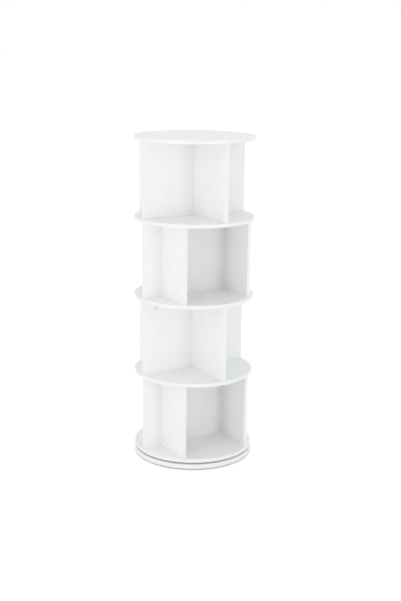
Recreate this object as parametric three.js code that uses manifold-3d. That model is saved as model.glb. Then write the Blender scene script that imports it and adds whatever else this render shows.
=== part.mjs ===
// A round shelf tower of four tiers that turns on a ball bearing, in millimetres.
// The origin is on the floor under the centre, +Z is up and -Y is the front.

import * as THREE from 'three';
import { mergeVertices } from 'three/addons/utils/BufferGeometryUtils.js';
import Module from 'manifold-3d';

const wasm = await Module();
wasm.setup();

// Boards
const discDiameter = 500;
const boardThickness = 15;
const baseThickness = 19;
const tierCount = 4;
const clearHeight = 313; // between two discs
const rimSetback = 6; // from a disc's rim in to the corners of the walls
const sideOffset = 152; // from the centre to the middle of a side divider
const edgeChamfer = 1;

// Clearances
const fitGap = 0.3; // round every pin, screw and plug in its hole
const overrun = 2; // how far a cutting or joining shape passes the face that it meets

// Cam locks, which tie the top edge of a main wall to the disc above it
const camDiameter = 15;
const camHeight = 12.2;
const camFromEdge = 32; // cam's centre below the wall's top edge
const camFromEnd = 54; // cam's centre in from the wall's end
const camSlotLength = 11.5;
const boltThreadDiameter = 6;
const boltThreadLength = 11;
const boltShankDiameter = 5;
const boltNeckDiameter = 3.2;
const boltNeckLength = 3.6;
const boltHeadDiameter = 5.8;
const boltHeadHeight = 2.8;
const capDiameter = 17.6;
const capHeight = 1;
const capTaper = 0.8;
const bareCam = { tier: 2, side: -1 }; // the one cam that has lost its cap

// Dowels, glued into each divider, which enter both discs and the main wall
const dowelDiameter = 8;
const dowelReach = 10; // out of the divider's edge
const dowelFromEnd = 45; // in from the divider's outer end

// Screws, fixed in the bottom edge of a main wall, which come up through the disc under it
const wallScrew = { diameter: 5, length: 48, headDiameter: 9, headHeight: 2.8 };
const wallScrewFromCam = 50;
const socketDiameter = 4; // hexagon socket in the head
const socketDepth = 2;

// Ball bearing: an outer ring on the base and an inner ring under the tower
const bearingHeight = 8;
const bearingPitchDiameter = 256;
const ringWidth = 21;
const ringHeight = 7;
const ringGap = 2;
const ballDiameter = 4;
const ballCount = 16;
const cageThickness = 1;
const cageHeight = 5;
const ringScrewCount = 3;
const ringScrew = { diameter: 3.6, length: 16, headDiameter: 7.4, headHeight: 2.2 };
const ringScrewTurn = Math.PI / 6; // keeps the screws away from the line of the main walls
const accessHoleDiameter = 20; // lets a driver reach the inner ring's screws

// Glides under the base
const glideCount = 6;
const glideHeight = 6;
const glideDiameter = 26;
const glideTaper = 1.5;
const glidePinDiameter = 3;
const glidePinLength = 10;
const glideFromRim = 35;

// Sides of the round shapes
const discSides = 72;
const ringSides = 40;
const roundSides = 12;
const pinSides = 8;
const socketSides = 6;
const ballRows = 4;

// Sizes and heights that follow
const discRadius = discDiameter / 2;
const halfBoard = boardThickness / 2;
const cornerReach = discRadius - rimSetback;
const wallReach = endWithin(cornerReach, halfBoard);
const tierPitch = clearHeight + boardThickness;
const baseTop = glideHeight + baseThickness;
const towerFloor = baseTop + bearingHeight;
const camX = wallReach - camFromEnd;
const wallScrewX = camX - wallScrewFromCam;
const pitchRadius = bearingPitchDiameter / 2;
const ballRoom = ballDiameter / 2 + fitGap;
const ringLift = bearingHeight - ringHeight;
const lowerScrewRadius = pitchRadius + (ringGap + ringWidth) / 2;
const upperScrewRadius = pitchRadius - (ringGap + ringWidth) / 2;
const glideCircle = discRadius - glideFromRim;
const bothSides = [{ word: 'left', side: -1 }, { word: 'right', side: 1 }];

const finishes = {
  board: { color: '#f3f4f5', roughness: 0.45, metalness: 0 },
  cap: { color: '#f6f6f6', roughness: 0.4, metalness: 0 },
  zinc: { color: '#b4b6b8', roughness: 0.38, metalness: 1 },
  steel: { color: '#c3c5c8', roughness: 0.25, metalness: 1 },
  aluminium: { color: '#c9cbce', roughness: 0.35, metalness: 1 },
  glide: { color: '#55565a', roughness: 0.55, metalness: 0 },
};

const tower = new THREE.Group();

function addPiece(name, geometry, finish) {
  const faceted = geometry.index ? geometry.toNonIndexed() : geometry;
  faceted.computeVertexNormals();
  const mesh = new THREE.Mesh(faceted, new THREE.MeshStandardMaterial(finishes[finish]));
  mesh.name = name;
  tower.add(mesh);
  return mesh;
}

// How far along its own line a board of this half width stays inside a circle
function endWithin(radius, halfWidth) {
  return Math.sqrt(radius * radius - halfWidth * halfWidth);
}

// Radius of the corners of a polygon whose flat sides lie at this radius
function roundFlats(radius, sides) {
  return radius / Math.cos(Math.PI / sides);
}

// Cutting and joining

function toSolid(geometry) {
  const bare = geometry.clone();
  bare.deleteAttribute('normal');
  bare.deleteAttribute('uv');
  const welded = mergeVertices(bare);
  const corners = [];
  for (let i = 0; i < welded.index.count; i += 3) {
    const face = [0, 1, 2].map((corner) => welded.index.getX(i + corner));
    if (new Set(face).size === 3) corners.push(...face);
  }
  const vertProperties = new Float32Array(welded.attributes.position.array);
  const triVerts = new Uint32Array(corners);
  return new wasm.Manifold(new wasm.Mesh({ numProp: 3, vertProperties, triVerts }));
}

function shape(body, { joined = [], cut = [] }) {
  let solid = toSolid(body);
  for (const piece of joined) solid = solid.add(toSolid(piece));
  for (const piece of cut) solid = solid.subtract(toSolid(piece));
  const mesh = solid.getMesh();
  const geometry = new THREE.BufferGeometry();
  geometry.setAttribute('position', new THREE.BufferAttribute(mesh.vertProperties, 3));
  geometry.setIndex(new THREE.BufferAttribute(mesh.triVerts, 1));
  return geometry;
}

// Basic forms, which start at z = 0 and go up

function prism(diameter, height, sides) {
  const outline = new THREE.Shape();
  outline.absarc(0, 0, diameter / 2, 0, 2 * Math.PI);
  // A full arc is drawn with two segments for each one asked for
  const curveSegments = sides / 2;
  return new THREE.ExtrudeGeometry(outline, { depth: height, bevelEnabled: false, curveSegments });
}

function turned(profile, sides) {
  const points = profile.map(([radius, height]) => new THREE.Vector2(radius, height));
  return new THREE.LatheGeometry(points, sides).rotateX(Math.PI / 2);
}

function board(outline, height) {
  const corners = outline.map(([x, y]) => new THREE.Vector2(x, y));
  return new THREE.ExtrudeGeometry(new THREE.Shape(corners), { depth: height, bevelEnabled: false });
}

// A hole for a pin that goes this far in from the face at z = 0
function pinHole(diameter, depth) {
  return prism(diameter + 2 * fitGap, overrun + depth + fitGap, pinSides).translate(0, 0, -overrun);
}

// A countersunk screw that goes up from a face at z = 0, with its head just under flush, and its hole

function screw({ diameter, length, headDiameter, headHeight }) {
  return turned([
    [0, 0],
    [headDiameter / 2, 0],
    [diameter / 2, headHeight],
    [diameter / 2, length - diameter / 2],
    [0, length],
  ], pinSides).translate(0, 0, fitGap);
}

function screwHole({ diameter, length, headDiameter, headHeight }) {
  const head = headDiameter / 2 + fitGap;
  const shank = diameter / 2 + fitGap;
  return turned([
    [0, -overrun],
    [head, -overrun],
    [head, fitGap],
    [shank, fitGap + headHeight],
    [shank, 2 * fitGap + length],
    [0, 2 * fitGap + length],
  ], pinSides);
}

function ringSpots(count, radius, startAngle) {
  return Array.from({ length: count }, (_, i) => {
    const angle = startAngle + (i / count) * 2 * Math.PI;
    return [radius * Math.cos(angle), radius * Math.sin(angle)];
  });
}

// Layout of a tier. Its centre divider stands on the front, -1, or the back, 1, of its main wall,
// its side dividers stand on the other side, and the next tier is turned half round.

function facingOf(tier) {
  return tier % 2 === 0 ? -1 : 1;
}

function dividersOf(tier) {
  const facing = facingOf(tier);
  return [
    { word: 'centre', x: 0, side: facing },
    { word: 'left', x: -sideOffset, side: -facing },
    { word: 'right', x: sideOffset, side: -facing },
  ];
}

function dividerReach(x) {
  return endWithin(cornerReach, Math.abs(x) + halfBoard);
}

// Discs

function disc(thickness, cut) {
  const body = turned([
    [0, 0],
    [discRadius - edgeChamfer, 0],
    [discRadius, edgeChamfer],
    [discRadius, thickness - edgeChamfer],
    [discRadius - edgeChamfer, thickness],
    [0, thickness],
  ], discSides);
  return shape(body, { cut });
}

// Holes in a disc's underside for the bolts and dowels of the tier below it
function holesForTierBelow(tier) {
  const bolts = bothSides.map(({ side }) => pinHole(boltThreadDiameter, boltThreadLength)
    .translate(side * camX, 0, 0));
  const dowels = dividersOf(tier).map(({ x, side }) => pinHole(dowelDiameter, dowelReach)
    .translate(x, side * (dividerReach(x) - dowelFromEnd), 0));
  return [...bolts, ...dowels];
}

// Holes in a disc for the dowels and wall screws of the tier on it
function holesForTierAbove(tier) {
  const dowels = dividersOf(tier).map(({ x, side }) => pinHole(dowelDiameter, dowelReach)
    .rotateX(Math.PI)
    .translate(x, side * (dividerReach(x) - dowelFromEnd), boardThickness));
  const screws = bothSides.map(({ side }) => screwHole(wallScrew).translate(side * wallScrewX, 0, 0));
  return [...dowels, ...screws];
}

// Upright boards

function mainWall(facing) {
  const length = wallReach - edgeChamfer;
  const width = halfBoard - edgeChamfer;
  const body = board([
    [-length, -halfBoard],
    [length, -halfBoard],
    [wallReach, -width],
    [wallReach, width],
    [length, halfBoard],
    [-length, halfBoard],
    [-wallReach, width],
    [-wallReach, -width],
  ], clearHeight);
  const joined = bothSides.map(({ side }) => screw(wallScrew)
    .translate(side * wallScrewX, 0, -boardThickness));
  const pocketDepth = camHeight + 2 * fitGap;
  const cut = bothSides.flatMap(({ side }) => [
    prism(camDiameter + 2 * fitGap, overrun + pocketDepth, roundSides)
      .rotateX(facing * Math.PI / 2)
      .translate(side * camX, facing * (halfBoard + overrun), clearHeight - camFromEdge),
    pinHole(boltThreadDiameter, camFromEdge)
      .rotateX(Math.PI)
      .translate(side * camX, 0, clearHeight),
    prism(socketDiameter, overrun + fitGap + socketDepth, socketSides)
      .translate(side * wallScrewX, 0, -boardThickness - overrun),
  ]);
  for (const x of [0, -sideOffset, sideOffset]) {
    const side = x === 0 ? facing : -facing;
    cut.push(pinHole(dowelDiameter, dowelReach)
      .rotateX(side * Math.PI / 2)
      .translate(x, side * halfBoard, clearHeight / 2));
  }
  return shape(body, { joined, cut });
}

// A divider runs from the main wall's face out to the corner circle
function divider(x, side) {
  const end = dividerReach(x);
  const width = halfBoard - edgeChamfer;
  const body = board([
    [-halfBoard, halfBoard],
    [halfBoard, halfBoard],
    [halfBoard, end - edgeChamfer],
    [width, end],
    [-width, end],
    [-halfBoard, end - edgeChamfer],
  ], clearHeight);
  const dowel = () => prism(dowelDiameter, dowelReach + overrun, pinSides);
  const joined = [
    dowel().translate(0, end - dowelFromEnd, -dowelReach),
    dowel().translate(0, end - dowelFromEnd, clearHeight - overrun),
    dowel().rotateX(-Math.PI / 2).translate(0, halfBoard - dowelReach, clearHeight / 2),
  ];
  return shape(body, { joined }).scale(side, side, 1).translate(x, 0, 0);
}

// Cam fittings

// The bolt stands in the disc above and hangs from z = 0 down into its cam
function camBolt() {
  const headEnd = -camFromEdge - boltHeadHeight / 2;
  const headStart = headEnd + boltHeadHeight;
  const neckStart = headStart + boltNeckLength;
  return turned([
    [0, headEnd],
    [boltHeadDiameter / 2, headEnd],
    [boltHeadDiameter / 2, headStart],
    [boltNeckDiameter / 2, headStart],
    [boltNeckDiameter / 2, neckStart],
    [boltShankDiameter / 2, neckStart],
    [boltShankDiameter / 2, 0],
    [boltThreadDiameter / 2, 0],
    [boltThreadDiameter / 2, boltThreadLength],
    [0, boltThreadLength],
  ], pinSides);
}

// The bolt's head passes into the cam through a slot in its side
function camLock(facing) {
  const slotWidth = boltHeadDiameter + 2 * fitGap;
  const slot = new THREE.BoxGeometry(slotWidth, slotWidth, overrun + camSlotLength)
    .translate(0, 0, (camDiameter + overrun - camSlotLength) / 2);
  const body = prism(camDiameter, camHeight, roundSides)
    .rotateX(facing * Math.PI / 2)
    .translate(0, facing * (halfBoard - fitGap), 0);
  return shape(body, { cut: [slot] });
}

function camCap(facing) {
  return turned([
    [0, 0],
    [capDiameter / 2, 0],
    [capDiameter / 2 - capTaper, capHeight],
    [0, capHeight],
  ], roundSides).rotateX(-facing * Math.PI / 2).translate(0, facing * halfBoard, 0);
}

// Bearing

// Half section of a ring, outer (1) or inner (-1), with a ball groove in the face near the balls
function ring(outward, grooveHeight) {
  const corner = (radius) => (outward > 0 ? roundFlats(radius, ringSides) : radius);
  const near = corner(pitchRadius + outward * ringGap / 2);
  const deep = corner(pitchRadius + outward * ballRoom);
  const far = pitchRadius + outward * (ringGap / 2 + ringWidth);
  const section = [
    [far, 0],
    [far, ringHeight],
    [near, ringHeight],
    [near, grooveHeight + ballRoom],
    [deep, grooveHeight + ballRoom / 2],
    [deep, grooveHeight - ballRoom / 2],
    [near, grooveHeight - ballRoom],
    [near, 0],
    [far, 0],
  ];
  return turned(outward > 0 ? section : section.reverse(), ringSides);
}

// The lower ring's screws point down into the base and the upper ring's point up into the tower

function atLowerRing(make) {
  return ringSpots(ringScrewCount, lowerScrewRadius, ringScrewTurn)
    .map(([x, y]) => make(ringScrew).rotateX(Math.PI).translate(x, y, ringHeight));
}

function atUpperRing(make) {
  return ringSpots(ringScrewCount, upperScrewRadius, ringScrewTurn)
    .map(([x, y]) => make(ringScrew).translate(x, y, 0));
}

// Balls and the cage that spaces them are one piece
function ballCage() {
  const inner = roundFlats(pitchRadius - cageThickness / 2, ringSides);
  const outer = pitchRadius + cageThickness / 2;
  const band = turned([
    [inner, -cageHeight / 2],
    [outer, -cageHeight / 2],
    [outer, cageHeight / 2],
    [inner, cageHeight / 2],
    [inner, -cageHeight / 2],
  ], ringSides);
  const joined = ringSpots(ballCount, pitchRadius, 0)
    .map(([x, y]) => new THREE.SphereGeometry(ballDiameter / 2, pinSides, ballRows).translate(x, y, 0));
  return shape(band, { joined });
}

function glide() {
  return turned([
    [0, 0],
    [glideDiameter / 2 - glideTaper, 0],
    [glideDiameter / 2, glideHeight],
    [glidePinDiameter / 2, glideHeight],
    [glidePinDiameter / 2, glideHeight + glidePinLength],
    [0, glideHeight + glidePinLength],
  ], roundSides);
}

// The base, which stands still

function addBase() {
  const glideSpots = ringSpots(glideCount, glideCircle, 0);
  glideSpots.forEach(([x, y], i) => addPiece(`foot_glide_${i + 1}`, glide().translate(x, y, 0), 'glide'));

  const cut = [
    ...glideSpots.map(([x, y]) => pinHole(glidePinDiameter, glidePinLength).translate(x, y, 0)),
    ...atLowerRing(screwHole).map((hole) => hole.translate(0, 0, baseThickness)),
    prism(accessHoleDiameter, baseThickness + 2 * overrun, roundSides)
      .translate(upperScrewRadius, 0, -overrun),
  ];
  addPiece('base_disc', disc(baseThickness, cut), 'board').position.z = glideHeight;

  const lowerRing = shape(ring(1, bearingHeight / 2), { cut: atLowerRing(screwHole) });
  addPiece('bearing_lower_ring', lowerRing, 'aluminium').position.z = baseTop;
  atLowerRing(screw).forEach((screw, i) => {
    addPiece(`lower_ring_screw_${i + 1}`, screw, 'steel').position.z = baseTop;
  });
}

// The tower, which turns: inner ring, bottom disc, and tiers with a disc on each

function addBearingTop() {
  const upperRing = shape(ring(-1, bearingHeight / 2 - ringLift), { cut: atUpperRing(screwHole) });
  addPiece('bearing_upper_ring', upperRing, 'aluminium').position.z = baseTop + ringLift;
  atUpperRing(screw).forEach((screw, i) => {
    addPiece(`upper_ring_screw_${i + 1}`, screw, 'steel').position.z = baseTop + ringLift;
  });
}

function addTier(tier) {
  const facing = facingOf(tier);
  const floor = towerFloor + boardThickness + (tier - 1) * tierPitch;
  const add = (name, geometry, finish) => {
    addPiece(`tier_${tier}_${name}`, geometry, finish).position.z = floor;
  };
  add('main_wall', mainWall(facing), 'board');
  for (const { word, x, side } of dividersOf(tier)) add(`${word}_divider`, divider(x, side), 'board');
  for (const { word, side } of bothSides) {
    const camZ = clearHeight - camFromEdge;
    const bare = tier === bareCam.tier && side === bareCam.side;
    add(`${word}_cam_bolt`, camBolt().translate(side * camX, 0, clearHeight), 'steel');
    add(`${word}_cam_lock`, camLock(facing).translate(side * camX, 0, camZ), 'zinc');
    if (!bare) add(`${word}_cam_cap`, camCap(facing).translate(side * camX, 0, camZ), 'cap');
  }
}

function addTower() {
  addBearingTop();
  for (let level = 0; level <= tierCount; level += 1) {
    const hasTierOn = level < tierCount;
    const below = level > 0 ? holesForTierBelow(level) : atUpperRing(screwHole)
      .map((hole) => hole.translate(0, 0, -ringHeight));
    const above = hasTierOn ? holesForTierAbove(level + 1) : [];
    const words = { 0: 'bottom_disc', [tierCount]: 'top_disc' };
    const name = words[level] ?? `shelf_disc_${level}`;
    const cut = [...below, ...above];
    addPiece(name, disc(boardThickness, cut), 'board').position.z = towerFloor + level * tierPitch;
    if (hasTierOn) addTier(level + 1);
  }
}

addBase();
addPiece('ball_cage', ballCage(), 'steel').position.z = baseTop + bearingHeight / 2;
addTower();

export default tower;
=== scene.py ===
# Round shelf tower on a ball bearing: its fine shapes and finishes, over the fixed frame

import math

import bmesh
import bpy
from mathutils import Matrix, Vector


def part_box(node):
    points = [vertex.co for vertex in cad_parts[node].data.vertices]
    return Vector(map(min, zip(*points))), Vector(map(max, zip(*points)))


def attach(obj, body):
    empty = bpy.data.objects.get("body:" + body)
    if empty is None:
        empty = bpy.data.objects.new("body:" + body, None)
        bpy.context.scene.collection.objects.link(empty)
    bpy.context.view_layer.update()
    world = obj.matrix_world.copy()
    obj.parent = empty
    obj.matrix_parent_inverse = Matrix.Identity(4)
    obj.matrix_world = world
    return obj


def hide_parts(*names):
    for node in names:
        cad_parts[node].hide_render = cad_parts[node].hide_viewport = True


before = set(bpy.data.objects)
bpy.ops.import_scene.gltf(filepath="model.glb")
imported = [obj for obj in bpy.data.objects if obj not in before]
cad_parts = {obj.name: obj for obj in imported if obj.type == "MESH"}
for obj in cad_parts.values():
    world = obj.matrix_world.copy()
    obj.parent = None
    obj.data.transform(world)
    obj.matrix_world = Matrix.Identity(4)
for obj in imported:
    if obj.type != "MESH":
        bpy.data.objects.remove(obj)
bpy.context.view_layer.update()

mm = 0.001

print("camera")

camera = {
    "place": (-2.2622, -3.6422, 1.7292),
    "heading": -32.234,  # degrees, from +Y
    "tiltDown": 13.938,
    "roll": 0.597,
    "lens": 62.51,
}


def addCamera():
    bpy.ops.object.camera_add()
    view = bpy.context.object
    view.name = "camera"
    view.data.lens = camera["lens"]
    view.matrix_world = (
        Matrix.Translation(camera["place"])
        @ Matrix.Rotation(math.radians(camera["heading"]), 4, "Z")
        @ Matrix.Rotation(math.radians(90 - camera["tiltDown"]), 4, "X")
        @ Matrix.Rotation(math.radians(camera["roll"]), 4, "Z")
    )
    bpy.context.scene.camera = view


addCamera()

print("room")

room = {
    "floorSize": 200,
    "floorColour": "#fafafa",
    "floorSeen": 1.25,  # level where seen directly: plain white that keeps the shadow
    "skyColour": "#fcfeff",
    "skyLight": 0.902,
    "skySeenColour": "#ffffff",
    "skySeen": 1,
    "lampAim": (0, 0, 0.7),
    "lampSize": 1.6,
    "lamps": {
        "leftSoftLamp": {"place": (-5.43, -2.53, 0.91), "colour": "#fff1e2", "power": 42},
        "frontSoftLamp": {"place": (1.04, -5.91, 0.91), "colour": "#fff8f7", "power": 25},
    },
}


def linear(hexColour):
    channels = [int(hexColour[i:i + 2], 16) / 255 for i in (1, 3, 5)]
    return [c / 12.92 if c <= 0.04045 else ((c + 0.055) / 1.055) ** 2.4 for c in channels] + [1]


# Adds a node, sets its properties and plain sockets, and links the others
def addNode(tree, kind, settings=None, links=None):
    node = tree.nodes.new(kind)
    for name, value in (settings or {}).items():
        if hasattr(node, name):
            setattr(node, name, value)
        else:
            node.inputs[name].default_value = value
    for name, source in (links or {}).items():
        tree.links.new(source, node.inputs[name])
    return node


# A Mix node has several sockets of the same name, so they are taken by number
def blend(tree, value, first, second):
    mixed = addNode(tree, "ShaderNodeMix", {"data_type": "RGBA"})
    mixed.inputs[6].default_value = linear(first)
    mixed.inputs[7].default_value = linear(second)
    tree.links.new(value, mixed.inputs[0])
    return mixed.outputs[2]


# 1 where the camera, a reflection or a clear surface sees the room, 0 for the light that it gives
def seenDirectly(tree):
    path = addNode(tree, "ShaderNodeLightPath")
    seen = path.outputs["Is Camera Ray"]
    for ray in ("Is Glossy Ray", "Is Transmission Ray"):
        either = addNode(tree, "ShaderNodeMath", {"operation": "MAXIMUM"})
        tree.links.new(seen, either.inputs[0])
        tree.links.new(path.outputs[ray], either.inputs[1])
        seen = either.outputs[0]
    return seen


# One level for the light that the room gives, another for how it looks when seen directly
def roomLevel(tree, seen, given, shown):
    levels = {"To Min": given, "To Max": shown}
    return addNode(tree, "ShaderNodeMapRange", levels, {"Value": seen}).outputs[0]


def addSky():
    world = bpy.data.worlds.new("softWhiteRoom")
    bpy.context.scene.world = world
    world.use_nodes = True
    tree = world.node_tree
    tree.nodes.clear()
    seen = seenDirectly(tree)
    level = roomLevel(tree, seen, room["skyLight"], room["skySeen"])
    tint = blend(tree, seen, room["skyColour"], room["skySeenColour"])
    light = addNode(tree, "ShaderNodeBackground", {}, {"Color": tint, "Strength": level})
    addNode(tree, "ShaderNodeOutputWorld", {}, {"Surface": light.outputs[0]})


def addFloor():
    bpy.ops.object.select_all(action="DESELECT")
    bpy.ops.mesh.primitive_plane_add(size=room["floorSize"])
    floor = bpy.context.object
    floor.name = "floor"
    material = bpy.data.materials.new("paleFloor")
    material.use_nodes = True
    tree = material.node_tree
    tree.nodes.clear()
    level = roomLevel(tree, seenDirectly(tree), linear(room["floorColour"])[0], room["floorSeen"])
    matt = addNode(tree, "ShaderNodeBsdfDiffuse", {}, {"Color": level})
    addNode(tree, "ShaderNodeOutputMaterial", {}, {"Surface": matt.outputs[0]})
    floor.data.materials.append(material)


def addLamps():
    for name, lamp in room["lamps"].items():
        bpy.ops.object.light_add(type="AREA", location=lamp["place"])
        light = bpy.context.object
        light.name = name
        light.data.shape = "DISK"
        light.data.size = room["lampSize"]
        light.data.energy = lamp["power"]
        light.data.color = linear(lamp["colour"])[:3]
        toTower = Vector(room["lampAim"]) - light.location
        light.rotation_euler = toTower.to_track_quat("-Z", "Y").to_euler()


addSky()
addFloor()
addLamps()
bpy.context.scene.view_settings.view_transform = "Standard"

print("materials")

noiseMiddle = {"From Min": 0.35, "From Max": 0.65}  # where most of a noise's values lie


def startMaterial(name):
    material = bpy.data.materials.new(name)
    material.use_nodes = True
    tree = material.node_tree
    place = addNode(tree, "ShaderNodeTexCoord").outputs["Object"]
    return material, tree, tree.nodes["Principled BSDF"], place


# Noise whose grains are this long, in metres
def grain(tree, place, size, detail=2):
    settings = {"Scale": 1 / size, "Detail": detail}
    return addNode(tree, "ShaderNodeTexNoise", settings, {"Vector": place}).outputs[0]


# Takes the middle of a noise's range out to low and high
def spread(tree, value, low, high):
    ends = {**noiseMiddle, "To Min": low, "To Max": high}
    return addNode(tree, "ShaderNodeMapRange", ends, {"Value": value}).outputs[0]


# Gives the surface a base colour between two, and a roughness between two, by the same noise
def vary(tree, surface, value, colours, roughness):
    tree.links.new(blend(tree, spread(tree, value, 0, 1), *colours), surface.inputs["Base Color"])
    tree.links.new(spread(tree, value, *roughness), surface.inputs["Roughness"])


def dent(tree, surface, value, depth, strength):
    bump = addNode(tree, "ShaderNodeBump", {"Strength": strength, "Distance": depth}, {"Height": value})
    tree.links.new(bump.outputs[0], surface.inputs["Normal"])


# Particle board faced with melamine paper, pressed in a lightly pebbled plate: an even white,
# with pebbles that only spread its highlights
melamineLook = {
    "whites": ("#f6f7f7", "#f4f5f5"),
    "haze": 90 * mm,
    "hazeDetail": 3,
    "roughness": (0.42, 0.5),
    "ior": 1.5,
    "pebble": 1.1 * mm,
    "pebbleDepth": 0.012 * mm,
    "pebbleStrength": 0.6,
}


def makeMelamine():
    look = melamineLook
    material, tree, surface, place = startMaterial("melamineFacedBoardPressed")
    haze = grain(tree, place, look["haze"], look["hazeDetail"])
    vary(tree, surface, haze, look["whites"], look["roughness"])
    surface.inputs["IOR"].default_value = look["ior"]
    pebbles = grain(tree, place, look["pebble"])
    dent(tree, surface, pebbles, look["pebbleDepth"], look["pebbleStrength"])
    return material


# Edging strip of extruded ABS, glued on and scraped flush: smoother than the board's face and a
# shade warmer, with faint scraper lines along the strip
edgingLook = {
    "whites": ("#f3f3f2", "#f1f1f0"),
    "lineLength": 30 * mm,
    "lineWidth": 0.6 * mm,
    "roughness": (0.34, 0.42),
    "ior": 1.52,
    "lineDepth": 0.01 * mm,
    "lineStrength": 0.5,
}


# The size is that of a scraper line along x, y and z
def makeEdging(name, lineSize):
    look = edgingLook
    material, tree, surface, place = startMaterial(name)
    scale = [1 / size for size in lineSize]
    lines = addNode(tree, "ShaderNodeMapping", {"Scale": scale}, {"Vector": place})
    drawn = grain(tree, lines.outputs[0], 1)
    vary(tree, surface, drawn, look["whites"], look["roughness"])
    surface.inputs["IOR"].default_value = look["ior"]
    dent(tree, surface, drawn, look["lineDepth"], look["lineStrength"])
    return material


# Particle board where it is cut or drilled: pressed wood chips, pale and dark, dry and rough
coreLook = {
    "pale": "#c9a877",
    "dark": "#8c6a42",
    "roughness": 0.9,
    "chip": 2.2 * mm,
    "chipDepth": 0.3 * mm,
    "chipStrength": 0.7,
}


def makeCore():
    look = coreLook
    material, tree, surface, place = startMaterial("particleBoardSawn")
    chips = addNode(tree, "ShaderNodeTexVoronoi", {"Scale": 1 / look["chip"]}, {"Vector": place})
    shade = addNode(tree, "ShaderNodeSeparateColor", {}, {"Color": chips.outputs["Color"]})
    tree.links.new(blend(tree, shade.outputs[0], look["pale"], look["dark"]), surface.inputs["Base Color"])
    surface.inputs["Roughness"].default_value = look["roughness"]
    dent(tree, surface, chips.outputs["Distance"], look["chipDepth"], look["chipStrength"])
    return material


# Caps moulded in polyethylene: soft white with a fine spark-eroded grain
capLook = {
    "whites": ("#f6f7f6", "#f4f4f3"),
    "roughness": (0.38, 0.5),
    "ior": 1.51,
    "grain": 0.5 * mm,
    "grainDepth": 0.02 * mm,
    "grainStrength": 0.4,
}


def makeCapPlastic():
    look = capLook
    material, tree, surface, place = startMaterial("polyethyleneMoulded")
    fine = grain(tree, place, look["grain"])
    vary(tree, surface, fine, look["whites"], look["roughness"])
    surface.inputs["IOR"].default_value = look["ior"]
    dent(tree, surface, fine, look["grainDepth"], look["grainStrength"])
    return material


# Metals, each by its tones, its roughness and the marks of how it was made
metalLooks = {
    "zincDieCast": {
        "tones": ("#e4e5e7", "#dadcde"),
        "roughness": (0.36, 0.5),
        "mark": 1.4 * mm,
        "markDepth": 0.03 * mm,
    },
    "steelZincPlated": {
        "tones": ("#c9cbcd", "#bbbec2"),
        "roughness": (0.24, 0.34),
        "mark": 0.7 * mm,
        "markDepth": 0.01 * mm,
    },
    "aluminiumExtruded": {
        "tones": ("#dcddde", "#d0d1d3"),
        "roughness": (0.32, 0.44),
        "mark": 0.5 * mm,
        "markDepth": 0.01 * mm,
    },
    "ballSteelPolished": {
        "tones": ("#cfd1d3", "#c6c8ca"),
        "roughness": (0.08, 0.14),
        "mark": 2 * mm,
        "markDepth": 0.002 * mm,
    },
}
metalMarks = {"detail": 3, "strength": 0.5}  # of all metals


def makeMetal(name):
    look = metalLooks[name]
    material, tree, surface, place = startMaterial(name)
    marks = grain(tree, place, look["mark"], metalMarks["detail"])
    vary(tree, surface, marks, look["tones"], look["roughness"])
    surface.inputs["Metallic"].default_value = 1
    dent(tree, surface, marks, look["markDepth"], metalMarks["strength"])
    return material


# Glides moulded in dark grey nylon, in places rubbed a little lighter
glideLook = {
    "greys": ("#4a4b4e", "#5b5c60"),
    "roughness": (0.5, 0.62),
    "ior": 1.53,
    "rub": 3 * mm,
    "rubDetail": 4,
    "grain": 0.6 * mm,
    "grainDepth": 0.03 * mm,
    "grainStrength": 0.5,
}


def makeGlidePlastic():
    look = glideLook
    material, tree, surface, place = startMaterial("nylonMoulded")
    rubbed = grain(tree, place, look["rub"], look["rubDetail"])
    vary(tree, surface, rubbed, look["greys"], look["roughness"])
    surface.inputs["IOR"].default_value = look["ior"]
    dent(tree, surface, grain(tree, place, look["grain"]), look["grainDepth"], look["grainStrength"])
    return material


# Beech dowels, turned and pressed: pale wood with short darker streaks
beechLook = {
    "tones": ("#d9b98f", "#c39c6c"),
    "roughness": (0.6, 0.7),
    "streak": 0.8 * mm,
    "streakDetail": 3,
}


def makeBeech():
    look = beechLook
    material, tree, surface, place = startMaterial("beechTurned")
    streaks = grain(tree, place, look["streak"], look["streakDetail"])
    vary(tree, surface, streaks, look["tones"], look["roughness"])
    return material


melamine = makeMelamine()
long, thin = edgingLook["lineLength"], edgingLook["lineWidth"]
rimEdging = makeEdging("absEdgingRound", (long, long, thin))
uprightEdging = makeEdging("absEdgingUpright", (thin, thin, long))
boardCore = makeCore()
capPlastic = makeCapPlastic()
glidePlastic = makeGlidePlastic()
beech = makeBeech()
zinc = makeMetal("zincDieCast")
platedSteel = makeMetal("steelZincPlated")
aluminium = makeMetal("aluminiumExtruded")
ballSteel = makeMetal("ballSteelPolished")

print("modelling tools")

tiny = 0.01 * mm  # what a tool takes for no distance
modelling = {
    "doubles": 0.001 * mm,  # points nearer than this are one
    "sharpAngle": 0.6,  # radians between two faces from which their edge is sharp
    "smoothAngle": 32,  # degrees between two faces up to which they shade as one
}
roundSides = {"small": 24, "middle": 32, "large": 64}


def only(piece):
    bpy.ops.object.select_all(action="DESELECT")
    piece.select_set(True)
    bpy.context.view_layer.objects.active = piece


# Goes into edit mode with just the wanted vertices, edges or faces selected
def pick(piece, kind, wanted):
    if bpy.context.mode != "EDIT_MESH":
        only(piece)
        bpy.ops.object.mode_set(mode="EDIT")
    bpy.ops.mesh.select_mode(type=kind)
    bpy.ops.mesh.select_all(action="DESELECT")
    mesh = bmesh.from_edit_mesh(piece.data)
    for part in {"VERT": mesh.verts, "EDGE": mesh.edges, "FACE": mesh.faces}[kind]:
        if wanted(part):
            part.select_set(True)
    bmesh.update_edit_mesh(piece.data)


def leaveEdit():
    bpy.ops.object.mode_set(mode="OBJECT")


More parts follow.
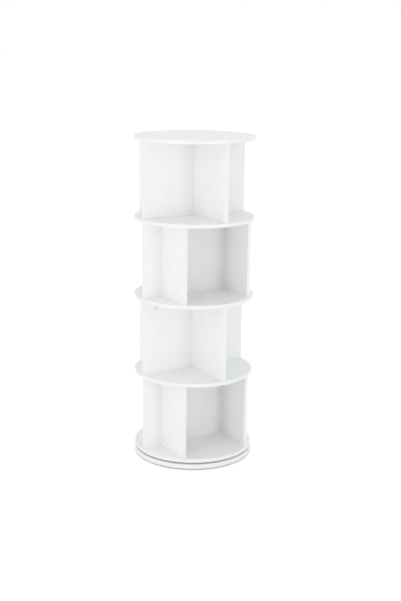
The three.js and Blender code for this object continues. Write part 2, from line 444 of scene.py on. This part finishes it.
# Turns a half section of (radius, height) points about the z axis. A closed one makes a ring,
# an open one is filled at both ends
def turn(section, sides, closed=False):
    bpy.ops.object.select_all(action="DESELECT")
    radius, height = section[0]
    bpy.ops.mesh.primitive_circle_add(vertices=sides, radius=radius, location=(0, 0, height))
    bpy.ops.object.transform_apply(location=True)
    piece = bpy.context.object
    bpy.ops.object.mode_set(mode="EDIT")
    bpy.ops.mesh.select_mode(type="EDGE")
    bpy.ops.mesh.select_all(action="SELECT")
    if not closed:
        bpy.ops.mesh.edge_face_add()
        pick(piece, "EDGE", lambda edge: True)
    for nextRadius, nextHeight in section[1:] + (section[:1] if closed else []):
        bpy.ops.mesh.extrude_edges_move(TRANSFORM_OT_translate={"value": (0, 0, nextHeight - height)})
        share = nextRadius / radius
        bpy.ops.transform.resize(value=(share, share, 1), center_override=(0, 0, nextHeight))
        radius, height = nextRadius, nextHeight
    if not closed:
        bpy.ops.mesh.edge_face_add()
    bpy.ops.mesh.select_all(action="SELECT")
    bpy.ops.mesh.remove_doubles(threshold=modelling["doubles"])
    bpy.ops.mesh.normals_make_consistent(inside=False)
    leaveEdit()
    return piece


def soften(piece, radius, wanted, steps=2):
    pick(piece, "EDGE", wanted)
    bpy.ops.mesh.bevel(offset=radius, segments=steps, affect="EDGES")
    leaveEdit()


def isSharp(edge):
    return edge.calc_face_angle(0) > modelling["sharpAngle"]


def rod(start, end, diameter, sides=roundSides["small"]):
    start, end = Vector(start), Vector(end)
    bpy.ops.object.select_all(action="DESELECT")
    bpy.ops.mesh.primitive_cylinder_add(vertices=sides, radius=diameter / 2, depth=(end - start).length)
    piece = bpy.context.object
    along = (end - start).to_track_quat("Z", "Y").to_matrix().to_4x4()
    piece.data.transform(Matrix.Translation((start + end) / 2) @ along)
    return piece


def block(low, high):
    low, high = Vector(low), Vector(high)
    bpy.ops.object.select_all(action="DESELECT")
    bpy.ops.mesh.primitive_cube_add(size=1, location=(low + high) / 2, scale=high - low)
    bpy.ops.object.transform_apply(location=True, scale=True)
    return bpy.context.object


# Cuts the tools out of the piece one after the other
def cutAway(piece, tools):
    for tool in tools:
        only(piece)
        bpy.ops.object.modifier_add(type="BOOLEAN")
        cut = piece.modifiers[-1]
        cut.operation = "DIFFERENCE"
        cut.object = tool
        bpy.ops.object.modifier_apply(modifier=cut.name)
        bpy.data.objects.remove(tool)


def paint(piece, materials, choose=None):
    piece.data.materials.clear()
    for material in materials:
        piece.data.materials.append(material)
    for face in piece.data.polygons:
        face.material_index = choose(face) if choose else 0


# Paints the piece and shades it smooth, with its flat faces left flat
def dress(piece, materials, choose=None):
    paint(piece, materials, choose)
    only(piece)
    bpy.ops.object.shade_smooth_by_angle(angle=math.radians(modelling["smoothAngle"]))
    bpy.ops.object.modifier_add(type="WEIGHTED_NORMAL")
    piece.modifiers[-1].keep_sharp = True
    bpy.ops.object.modifier_apply(modifier=piece.modifiers[-1].name)
    return piece


# Puts a copy of a finished shape in its place, with the place in its own mesh
def setInPlace(shape, name, where, body, node=None):
    piece = shape.copy()
    piece.data = shape.data.copy()
    piece.data.transform(where)
    piece.name = piece.data.name = name
    bpy.context.scene.collection.objects.link(piece)
    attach(piece, body)
    if node:
        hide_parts(node)


def discard(*shapes):
    for shape in shapes:
        bpy.data.objects.remove(shape)


def topOf(node):
    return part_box(node)[1].z


def bottomOf(node):
    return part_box(node)[0].z


def middleOf(node):
    low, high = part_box(node)
    return (low + high) / 2


# What the frame says. Tiers are counted from the floor. The shapes of a tier are modelled as in an
# even tier, with the centre divider on the -Y side and the disc's top at z = 0; an odd tier is
# turned half round
tiers = [1, 2, 3, 4]
discNames = ["bottom_disc", "shelf_disc_1", "shelf_disc_2", "shelf_disc_3", "top_disc"]
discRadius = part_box("top_disc")[1].x
thickness = topOf("top_disc") - bottomOf("top_disc")
half = thickness / 2
clearHeight = bottomOf("shelf_disc_2") - topOf("shelf_disc_1")
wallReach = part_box("tier_2_main_wall")[1].x
centreReach = -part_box("tier_2_centre_divider")[0].y
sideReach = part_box("tier_2_right_divider")[1].y
sideX = middleOf("tier_2_right_divider").x
camX = middleOf("tier_2_right_cam_lock").x
camHeight = middleOf("tier_2_right_cam_lock").z - topOf("shelf_disc_1")
halfTurn = Matrix.Rotation(math.pi, 4, "Z")

fittings = {
    "play": 0.3 * mm,  # round what sits in a hole
    "overrun": 2 * mm,  # of a cutting tool past the face that it enters
    "dowelDiameter": 8 * mm,
    "dowelLength": 30 * mm,
    "dowelReach": 10 * mm,  # into a disc or a wall
    "dowelFromEnd": 45 * mm,
    "wallScrewFromCam": 50 * mm,
    "boltThread": 6 * mm,
    "boltThreadLength": 11 * mm,
    "camDiameter": 15 * mm,
    "camDepth": 12.2 * mm,
}
wallScrew = {
    "diameter": 5 * mm,
    "head": 9 * mm,
    "headHeight": 2.8 * mm,
    "length": 48 * mm,
    "socket": 4 * mm,
    "socketDepth": 2 * mm,
    "pitch": 2.4 * mm,
    "threadDepth": 0.6 * mm,
}
wallScrewX = camX - fittings["wallScrewFromCam"]


def tierFloor(tier):
    return topOf(discNames[tier - 1])


def tierPlace(tier):
    return Matrix.Translation((0, 0, tierFloor(tier))) @ (halfTurn if tier % 2 else Matrix())


def sideWord(tier, side):
    return "left" if (side < 0) == (tier % 2 == 0) else "right"


# Dowels stand in a divider's lower and upper edges here
def dowelSpots():
    inset = fittings["dowelFromEnd"]
    return [(0, inset - centreReach), (-sideX, sideReach - inset), (sideX, sideReach - inset)]


# Half section of the hole for a countersunk screw that is sunk by its play, from below z = 0 up
def screwProfile(screw, play):
    head, shank = screw["head"] / 2 + play, screw["diameter"] / 2 + play
    top = screw["length"] + play
    return [(head, -fittings["overrun"]), (head, play), (shank, screw["headHeight"] + play), (shank, top)]


print("discs")

discLook = {
    "sides": 240,
    "edgeRadius": 0.9 * mm,
    "edgeSteps": 3,
    "edging": 1.1 * mm,  # thickness of the strip round the rim
    "seam": 0.07 * mm,  # half width and depth of the hairline between strip and face
}


# True where a face looks along an axis, 0, 1 or 2, to within 60 degrees
def looksAlong(face, axis):
    return abs(face.normal[axis]) > 0.5


# A disc with its underside at z = 0
def makeDisc(thick, tools):
    look = discLook
    bpy.ops.object.select_all(action="DESELECT")
    bpy.ops.mesh.primitive_cylinder_add(vertices=look["sides"], radius=discRadius, depth=thick)
    piece = bpy.context.object
    piece.data.transform(Matrix.Translation((0, 0, thick / 2)))
    soften(piece, look["edgeRadius"], isSharp, look["edgeSteps"])
    pick(piece, "FACE", lambda face: len(face.verts) == look["sides"])
    bpy.ops.mesh.inset(thickness=look["edging"] - look["edgeRadius"], use_individual=True)
    bpy.ops.mesh.inset(thickness=look["seam"], depth=-look["seam"], use_individual=True)
    bpy.ops.mesh.inset(thickness=look["seam"], depth=look["seam"], use_individual=True)
    leaveEdit()
    cutAway(piece, tools)

    def surfaceOf(face):
        if math.hypot(face.center.x, face.center.y) > discRadius - look["edging"]:
            return 1
        nearFace = min(face.center.z, thick - face.center.z) < look["seam"]
        return 0 if nearFace and looksAlong(face, 2) else 2

    return dress(piece, [melamine, rimEdging, boardCore], surfaceOf)


# Tools for the holes in a disc: for the tier that stands on it, and for the tier below it
def holesForTierOn():
    play, past = fittings["play"], fittings["overrun"]
    high, low = thickness + past, thickness - fittings["dowelReach"] - play
    tools = [rod((x, y, high), (x, y, low), fittings["dowelDiameter"] + 2 * play) for x, y in dowelSpots()]
    for side in (-1, 1):
        tool = turn(screwProfile(wallScrew, play), roundSides["middle"])
        tool.data.transform(Matrix.Translation((side * wallScrewX, 0, 0)))
        tools.append(tool)
    return tools


def holesForTierBelow():
    play, low = fittings["play"], -fittings["overrun"]
    high = fittings["dowelReach"] + play
    tools = [rod((x, y, low), (x, y, high), fittings["dowelDiameter"] + 2 * play) for x, y in dowelSpots()]
    high, hole = fittings["boltThreadLength"] + play, fittings["boltThread"] + 2 * play
    return tools + [rod((x, 0, low), (x, 0, high), hole) for x in (-camX, camX)]


def turnedRound(tools):
    for tool in tools:
        tool.data.transform(halfTurn)
    return tools


# Holes for the screws or pins of these nodes, from one height in the disc to another
def pinHoles(nodes, diameter, fromZ, toZ):
    spots = [middleOf(node) for node in nodes]
    return [rod((spot.x, spot.y, fromZ), (spot.x, spot.y, toZ), diameter) for spot in spots]


upperScrews = [f"upper_ring_screw_{i}" for i in (1, 2, 3)]
lowerScrews = [f"lower_ring_screw_{i}" for i in (1, 2, 3)]
glides = [f"foot_glide_{i}" for i in range(1, 7)]
pinHoleSizes = {"ringScrew": 4.2 * mm, "glidePin": 3.6 * mm, "access": 20 * mm}


def nameOf(node):
    return "".join(word.title() for word in node.split("_"))


def addDisc(shape, node, body, where=Matrix()):
    setInPlace(shape, nameOf(node), Matrix.Translation((0, 0, bottomOf(node))) @ where, body, node)


def addDiscs():
    past = fittings["overrun"]
    screwTop = topOf(upperScrews[0]) - bottomOf("bottom_disc")
    screwHoles = pinHoles(upperScrews, pinHoleSizes["ringScrew"], -past, screwTop)
    bottom = makeDisc(thickness, turnedRound(holesForTierOn()) + screwHoles)
    shelf = makeDisc(thickness, holesForTierOn() + turnedRound(holesForTierBelow()))
    top = makeDisc(thickness, holesForTierBelow())

    baseLow, baseHigh = bottomOf("base_disc"), topOf("base_disc")
    high = baseHigh - baseLow + past
    access = middleOf(upperScrews[0]).to_2d().length
    base = makeDisc(
        baseHigh - baseLow,
        pinHoles(lowerScrews, pinHoleSizes["ringScrew"], high, bottomOf(lowerScrews[0]) - baseLow)
        + pinHoles(glides, pinHoleSizes["glidePin"], -past, topOf(glides[0]) - baseLow)
        + [rod((access, 0, -past), (access, 0, high), pinHoleSizes["access"], roundSides["large"])])
    addDisc(bottom, "bottom_disc", "tower")
    addDisc(shelf, "shelf_disc_1", "tower")
    addDisc(shelf, "shelf_disc_2", "tower", halfTurn)
    addDisc(shelf, "shelf_disc_3", "tower")
    addDisc(top, "top_disc", "tower")
    addDisc(base, "base_disc", "base")
    discard(bottom, shelf, top, base)


addDiscs()

print("upright boards")

uprightLook = {
    "edgeRadius": 0.9 * mm,
    "edgeSteps": 3,
    "edging": 1.1 * mm,
    "seam": 0.07 * mm,
}


# A board from low to high that runs along x, 0, or y, 1, with an edging strip on the ends named by
# their sides, -1 or 1
def makeUpright(low, high, along, edged, tools):
    look = uprightLook
    across = 1 - along
    low, high = Vector(low), Vector(high)
    middle = (low + high) / 2
    ends = {-1: low[along], 1: high[along]}
    piece = block(low, high)

    def isEdgedCorner(edge):
        first, second = (vert.co for vert in edge.verts)
        upright = abs(first.z - second.z) > tiny
        return upright and any(abs(first[along] - ends[side]) < tiny for side in edged)

    soften(piece, look["edgeRadius"], isEdgedCorner, look["edgeSteps"])
    for side in edged:
        seamAt = ends[side] - side * (look["edging"] + look["seam"])
        for shift in (-look["seam"], 0, look["seam"]):
            pick(piece, "FACE", lambda face: True)
            point, normal = Vector(), Vector()
            point[along], normal[along] = seamAt + shift, 1
            bpy.ops.mesh.bisect(plane_co=point, plane_no=normal)
        pick(piece, "VERT", lambda vert: abs(vert.co[along] - seamAt) < tiny)
        drawnIn = [1, 1, 1]
        drawnIn[across] = 1 - look["seam"] / half
        bpy.ops.transform.resize(value=drawnIn, center_override=middle)
    leaveEdit()
    cutAway(piece, tools)

    def surfaceOf(face):
        if any(side * (face.center[along] - ends[side]) > -look["edging"] for side in edged):
            return 1
        onFace = abs(face.center[across] - middle[across]) > half - look["seam"] - tiny
        return 0 if onFace and looksAlong(face, across) else 2

    return dress(piece, [melamine, uprightEdging, boardCore], surfaceOf)


def makeMainWall():
    play, past = fittings["play"], fittings["overrun"]
    dowelHole, boltHole = fittings["dowelDiameter"] + 2 * play, fittings["boltThread"] + 2 * play
    camEnd = fittings["camDepth"] + 2 * play - half
    camHole = fittings["camDiameter"] + play
    tools = []
    for x in (-camX, camX):
        tools.append(rod((x, -half - past, camHeight), (x, camEnd, camHeight), camHole, roundSides["large"]))
        tools.append(rod((x, 0, clearHeight + past), (x, 0, camHeight), boltHole))
    screwTop = wallScrew["length"] - thickness + play
    for x in (-wallScrewX, wallScrewX):
        tools.append(rod((x, 0, -past), (x, 0, screwTop), wallScrew["diameter"]))
    midHeight = clearHeight / 2
    for x, side in ((0, -1), (-sideX, 1), (sideX, 1)):
        inner = side * (half - fittings["dowelReach"] - play)
        tools.append(rod((x, side * (half + past), midHeight), (x, inner, midHeight), dowelHole))
    return makeUpright((-wallReach, -half, 0), (wallReach, half, clearHeight), 0, (-1, 1), tools)


# A divider on the wall's -Y side, -1, or +Y side, 1, out to this reach
def makeDivider(side, reach):
    past, hole = fittings["overrun"], fittings["dowelDiameter"]
    bore = fittings["dowelLength"] - fittings["dowelReach"]
    y = side * (reach - fittings["dowelFromEnd"])
    midHeight = clearHeight / 2
    tools = [
        rod((0, y, -past), (0, y, bore), hole),
        rod((0, y, clearHeight + past), (0, y, clearHeight - bore), hole),
        rod((0, side * (half - past), midHeight), (0, side * (half + bore), midHeight), hole),
    ]
    near, far = sorted((side * half, side * reach))
    return makeUpright((-half, near, 0), (half, far, clearHeight), 1, (side,), tools)


dowelShape = {"sides": 32, "chamfer": 0.9 * mm, "fluteDepth": 0.35 * mm}


# A beech dowel with pressed flutes, its middle at z = 0
def makeDowel():
    look = dowelShape
    outer, chamfer = fittings["dowelDiameter"] / 2, look["chamfer"]
    reach = fittings["dowelLength"] / 2
    piece = turn([
        (outer - chamfer, -reach), (outer, chamfer - reach),
        (outer, reach - chamfer), (outer - chamfer, reach),
    ], look["sides"])

    def inFlute(vert):
        turns = math.atan2(vert.co.y, vert.co.x) / (2 * math.pi) * look["sides"]
        return round(turns) % 2 == 0 and vert.co.to_2d().length > outer - tiny

    pick(piece, "VERT", inFlute)
    share = 1 - look["fluteDepth"] / outer
    bpy.ops.transform.resize(value=(share, share, 1), center_override=(0, 0, 0))
    leaveEdit()
    return dress(piece, [beech])


def addUprights():
    wall = makeMainWall()
    centre = makeDivider(-1, centreReach)
    sidewards = makeDivider(1, sideReach)
    dowel = makeDowel()
    lying = Matrix.Rotation(math.pi / 2, 4, "X")
    out = fittings["dowelLength"] / 2 - fittings["dowelReach"]  # from a board's edge to its dowel's middle
    for tier in tiers:
        where = tierPlace(tier)
        setInPlace(wall, f"Tier{tier}MainWall", where, "tower", f"tier_{tier}_main_wall")
        words = ("centre", sideWord(tier, -1), sideWord(tier, 1))
        shapes = (centre, sidewards, sidewards)
        for word, shape, side, (x, y) in zip(words, shapes, (-1, 1, 1), dowelSpots()):
            name = f"Tier{tier}{word.title()}"
            atWall = where @ Matrix.Translation((x, 0, 0))
            setInPlace(shape, name + "Divider", atWall, "tower", f"tier_{tier}_{word}_divider")
            below = where @ Matrix.Translation((x, y, out))
            above = where @ Matrix.Translation((x, y, clearHeight - out))
            toWall = where @ Matrix.Translation((x, side * (half + out), clearHeight / 2)) @ lying
            for end, spot in (("Below", below), ("Above", above), ("Wall", toWall)):
                setInPlace(dowel, name + "Dowel" + end, spot, "tower")
    discard(wall, centre, sidewards, dowel)


addUprights()

print("cam fittings")

camLook = {
    "lip": 0.9 * mm,
    "lipHeight": 0.5 * mm,
    "crossLength": 6.4 * mm,
    "crossWidth": 1.2 * mm,
    "crossDepth": 2 * mm,
    "arrow": 2.6 * mm,
    "arrowDepth": 0.6 * mm,
    "arrowFromCentre": 4.6 * mm,
    "slot": 6.4 * mm,
    "slotPastCentre": 4 * mm,
    "edgeRadius": 0.3 * mm,
}


# A cam on its back: its face looks up at z = 0, and the bolt comes in from +Y
def makeCamLock():
    look = camLook
    outer, deep = fittings["camDiameter"] / 2, fittings["camDepth"]
    faceZ = -look["lipHeight"]
    lip = outer - look["lip"]
    section = [(outer, -deep), (outer, 0), (lip, 0), (lip - look["lipHeight"] / 2, faceZ)]
    piece = turn(section, roundSides["large"])
    soften(piece, look["edgeRadius"],
           lambda edge: isSharp(edge) and all(vert.co.to_2d().length > outer - tiny for vert in edge.verts))
    long, wide = look["crossLength"] / 2, look["crossWidth"] / 2
    boltZ = half - fittings["play"]  # the bolt runs in the middle of the wall
    slot, slotEnd = look["slot"] / 2, outer + fittings["overrun"]
    arrowAt = Vector((0, look["arrowFromCentre"], faceZ))
    upward = Vector((0, 0, look["arrowDepth"]))
    cutAway(piece, [
        block((-long, -wide, faceZ - look["crossDepth"]), (long, wide, tiny)),
        block((-wide, -long, faceZ - look["crossDepth"]), (wide, long, tiny)),
        rod(arrowAt - upward, arrowAt + upward, look["arrow"], sides=3),
        block((-slot, -look["slotPastCentre"], -boltZ - slot), (slot, slotEnd, slot - boltZ)),
    ])
    return dress(piece, [zinc])


capSize = {
    "diameter": 17.6 * mm,
    "height": 1 * mm,
    "slope": 0.8 * mm,
    "edgeRadius": 0.25 * mm,
    "dimple": 0.8 * mm,
    "dimpleDepth": 0.2 * mm,
}


def makeCamCap():
    size = capSize
    outer, height = size["diameter"] / 2, size["height"]
    flat = outer - size["slope"]
    piece = turn([
        (outer, 0), (outer, height / 3), (flat, height), (size["dimple"] * 2, height),
        (size["dimple"], height - size["dimpleDepth"]),
    ], roundSides["large"])

    def isOnRim(vert):
        return vert.co.z > height - tiny and vert.co.to_2d().length > flat - tiny

    soften(piece, size["edgeRadius"], lambda edge: all(isOnRim(vert) for vert in edge.verts))
    return dress(piece, [capPlastic])


boltSize = {
    "head": 5.8 * mm,
    "headHeight": 2.8 * mm,
    "neck": 3.2 * mm,
    "neckLength": 3.6 * mm,
    "shank": 5 * mm,
    "pitch": 1.6 * mm,
    "threadDepth": 0.6 * mm,
}
threadShares = {"start": 0.2, "crest": 0.5, "end": 0.8}  # of the pitch, within each turn of a thread


# Thread drawn as rings, from one height up to another
def threadRings(outer, start, end, pitch, depth):
    rings = []
    for i in range(int((end - start) / pitch)):
        for place, share in threadShares.items():
            inward = 0 if place == "crest" else depth
            rings.append((outer - inward, start + (i + share) * pitch))
    return rings


# The bolt hangs from the disc's underside at z = 0, with its head in the cam
def makeCamBolt():
    size = boltSize
    outer, length = fittings["boltThread"] / 2, fittings["boltThreadLength"]
    head, neck, shank = size["head"] / 2, size["neck"] / 2, size["shank"] / 2
    headLow = camHeight - clearHeight - size["headHeight"] / 2
    headTop = headLow + size["headHeight"]
    neckTop = headTop + size["neckLength"]
    edge = size["threadDepth"] / 2
    piece = turn([
        (head - edge, headLow), (head, headLow + edge), (head, headTop),
        (neck, headTop), (neck, neckTop), (shank, neckTop), (shank, 0),
        *threadRings(outer, 0, length, size["pitch"], size["threadDepth"]),
        (neck, length),
    ], roundSides["middle"])
    return dress(piece, [platedSteel])


# A screw up from the underside of a disc at z = 0, with a hexagon socket
def makeWallScrew():
    size = wallScrew
    head, shank, length = size["head"] / 2, size["diameter"] / 2, size["length"]
    piece = turn([
        (head, 0), (head, size["threadDepth"] / 2), (shank, size["headHeight"]), (shank, thickness),
        *threadRings(shank, thickness, length - shank, size["pitch"], size["threadDepth"]),
        (shank / 4, length),
    ], roundSides["middle"])
    piece.data.transform(Matrix.Translation((0, 0, fittings["play"])))
    cutAway(piece, [rod((0, 0, -fittings["overrun"]), (0, 0, size["socketDepth"]), size["socket"], sides=6)])
    return dress(piece, [platedSteel])


def addCamFittings():
    lock, cap, bolt, screw = makeCamLock(), makeCamCap(), makeCamBolt(), makeWallScrew()
    facing = Matrix.Rotation(math.pi / 2, 4, "X")  # turns +Z to -Y, and +Y to +Z
    for tier in tiers:
        where = tierPlace(tier)
        for side in (-1, 1):
            word = sideWord(tier, side)
            node, name = f"tier_{tier}_{word}_cam_", f"Tier{tier}{word.title()}Cam"
            atCam = where @ Matrix.Translation((side * camX, 0, camHeight))
            sunk = Matrix.Translation((0, fittings["play"] - half, 0))
            setInPlace(lock, name + "Lock", atCam @ sunk @ facing, "tower", node + "lock")
            if node + "cap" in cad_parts:
                onWall = Matrix.Translation((0, -half, 0))
                setInPlace(cap, name + "Cap", atCam @ onWall @ facing, "tower", node + "cap")
            atDisc = where @ Matrix.Translation((side * camX, 0, clearHeight))
            setInPlace(bolt, name + "Bolt", atDisc, "tower", node + "bolt")
            atScrew = where @ Matrix.Translation((side * wallScrewX, 0, -thickness))
            setInPlace(screw, f"Tier{tier}{word.title()}WallScrew", atScrew, "tower")
    discard(lock, cap, bolt, screw)


addCamFittings()

print("bearing")

bearing = {
    "sides": 192,
    "gap": 2 * mm,  # between the two rings
    "ballDiameter": 4 * mm,
    "ballCount": 16,
    "play": 0.3 * mm,
    "cageThickness": 1 * mm,
    "cageHeight": 5 * mm,
    "pocket": 4.3 * mm,
    "edgeRadius": 0.5 * mm,
}
ringScrew = {
    "diameter": 3.6 * mm,
    "head": 7.4 * mm,
    "headHeight": 2.2 * mm,
    "length": 16 * mm,
    "crossLength": 4 * mm,
    "crossWidth": 0.9 * mm,
    "crossDepth": 1.6 * mm,
    "pitch": 1.6 * mm,
    "threadDepth": 0.5 * mm,
}
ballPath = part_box("ball_cage")[1].x - bearing["ballDiameter"] / 2  # radius of the balls' centres
ballHeight = middleOf("ball_cage").z


# A ring whose near side faces the balls; outward, 1, is the ring outside them, and -1 the inner one
def makeRing(node, outward, screws):
    low, high = bottomOf(node), topOf(node)
    free = bearing["ballDiameter"] / 2 + bearing["play"]
    near = ballPath + outward * bearing["gap"] / 2
    deep = ballPath + outward * free
    width = middleOf(screws[0]).to_2d().length - near
    far = near + 2 * width
    piece = turn([
        (far, low), (far, high), (near, high), (near, ballHeight + free), (deep, ballHeight + free / 2),
        (deep, ballHeight - free / 2), (near, ballHeight - free), (near, low),
    ], bearing["sides"], closed=True)

    def isAtEnd(vert):
        return min(vert.co.z - low, high - vert.co.z) < tiny

    soften(piece, bearing["edgeRadius"],
           lambda edge: isSharp(edge) and all(isAtEnd(vert) for vert in edge.verts))
    tools = []
    for screw in screws:
        tool = turn(screwProfile(ringScrew, bearing["play"]), roundSides["middle"])
        tool.data.transform(screwPlace(screw, outward, low, high))
        tools.append(tool)
    cutAway(piece, tools)
    return dress(piece, [aluminium])


# The lower ring's screws, outward 1, point down from its top, and the upper ring's point up from
# its underside
def screwPlace(node, outward, low, high):
    spot = middleOf(node)
    if outward > 0:
        return Matrix.Translation((spot.x, spot.y, high)) @ Matrix.Rotation(math.pi, 4, "X")
    return Matrix.Translation((spot.x, spot.y, low))


# A screw up from its head at z = 0, with a cross recess
def makeRingScrew():
    size = ringScrew
    head, shank, length = size["head"] / 2, size["diameter"] / 2, size["length"]
    piece = turn([
        (head, 0), (head, size["threadDepth"] / 2), (shank, size["headHeight"]),
        *threadRings(shank, size["headHeight"] + size["pitch"], length - shank,
                     size["pitch"], size["threadDepth"]),
        (shank / 4, length),
    ], roundSides["middle"])
    along, across, deep = size["crossLength"] / 2, size["crossWidth"] / 2, size["crossDepth"]
    cutAway(piece, [
        block((-along, -across, -tiny), (along, across, deep)),
        block((-across, -along, -tiny), (across, along, deep)),
    ])
    piece.data.transform(Matrix.Translation((0, 0, bearing["play"])))
    return dress(piece, [platedSteel])


def addRing(node, outward, screws, body, screwShape):
    low, high = bottomOf(node), topOf(node)
    ring = makeRing(node, outward, screws)
    setInPlace(ring, nameOf(node), Matrix(), body, node)
    discard(ring)
    for i, screw in enumerate(screws):
        name = ("Lower" if outward > 0 else "Upper") + f"RingScrew{i + 1}"
        setInPlace(screwShape, name, screwPlace(screw, outward, low, high), body, screw)


def addBalls():
    inner, outer = (ballPath + side * bearing["cageThickness"] / 2 for side in (-1, 1))
    low, high = (ballHeight + side * bearing["cageHeight"] / 2 for side in (-1, 1))
    band = turn([(outer, low), (outer, high), (inner, high), (inner, low)], bearing["sides"], closed=True)
    count = bearing["ballCount"]
    turns = [Matrix.Rotation(2 * math.pi * i / count, 3, "Z") for i in range(count)]
    spots = [turned @ Vector((ballPath, 0, ballHeight)) for turned in turns]
    ways = [turned @ Vector((2 * bearing["ballDiameter"], 0, 0)) for turned in turns]
    cutAway(band, [rod(spot - way, spot + way, bearing["pocket"]) for spot, way in zip(spots, ways)])
    pick(band, "VERT", lambda vert: True)
    bpy.ops.mesh.remove_doubles(threshold=modelling["doubles"])
    leaveEdit()
    dress(band, [platedSteel])
    setInPlace(band, "BallCageBand", Matrix(), "ball_cage", "ball_cage")
    discard(band)

    bpy.ops.object.select_all(action="DESELECT")
    bpy.ops.mesh.primitive_uv_sphere_add(
        segments=roundSides["middle"], ring_count=roundSides["middle"] // 2,
        radius=bearing["ballDiameter"] / 2)
    ball = bpy.context.object
    bpy.ops.object.shade_smooth()
    paint(ball, [ballSteel])
    for i, spot in enumerate(spots):
        setInPlace(ball, f"BearingBall{i + 1}", Matrix.Translation(spot), "ball_cage")
    discard(ball)


def addBearing():
    screw = makeRingScrew()
    addRing("bearing_lower_ring", 1, lowerScrews, "base", screw)
    addRing("bearing_upper_ring", -1, upperScrews, "tower", screw)
    discard(screw)
    addBalls()


addBearing()

print("glides")

glideSize = {
    "foot": 10.6 * mm,  # radius of the flat that stands on the floor
    "shoulder": 2.2 * mm,
    "edgeRadius": 0.5 * mm,
    "recess": 7.4 * mm,
    "recessDepth": 2.4 * mm,
    "nailHead": 6.4 * mm,
    "nailHeadHeight": 1.1 * mm,
    "nail": 2.6 * mm,
}


def makeGlide(height):
    size = glideSize
    low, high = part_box(glides[0])
    outer = (high.x - low.x) / 2
    piece = turn([
        (size["foot"], 0), (outer - size["shoulder"] / 3, size["shoulder"] / 2),
        (outer, size["shoulder"]), (outer, height),
    ], roundSides["large"])
    soften(piece, size["edgeRadius"], lambda edge: isSharp(edge) and edge.verts[0].co.z > tiny)
    past = fittings["overrun"]
    cutAway(piece, [
        rod((0, 0, -past), (0, 0, size["recessDepth"]), size["recess"], roundSides["middle"]),
        rod((0, 0, 0), (0, 0, height + past), size["nail"] + fittings["play"]),
    ])
    return dress(piece, [glidePlastic])


def makeNail(top):
    size = glideSize
    head, shank, edge = size["nailHead"] / 2, size["nail"] / 2, size["nailHeadHeight"] / 2
    headTop = size["recessDepth"]
    piece = turn([
        (head - edge, headTop - 2 * edge), (head, headTop - edge), (head, headTop),
        (shank, headTop), (shank, top - size["nail"]), (shank / 4, top),
    ], roundSides["small"])
    return dress(piece, [platedSteel])


def addGlides():
    shape = makeGlide(bottomOf("base_disc"))
    nail = makeNail(topOf(glides[0]))
    for i, node in enumerate(glides):
        spot = Matrix.Translation((middleOf(node).x, middleOf(node).y, 0))
        setInPlace(shape, f"FootGlide{i + 1}", spot, "base", node)
        setInPlace(nail, f"FootGlideNail{i + 1}", spot, "base")
    discard(shape, nail)


addGlides()
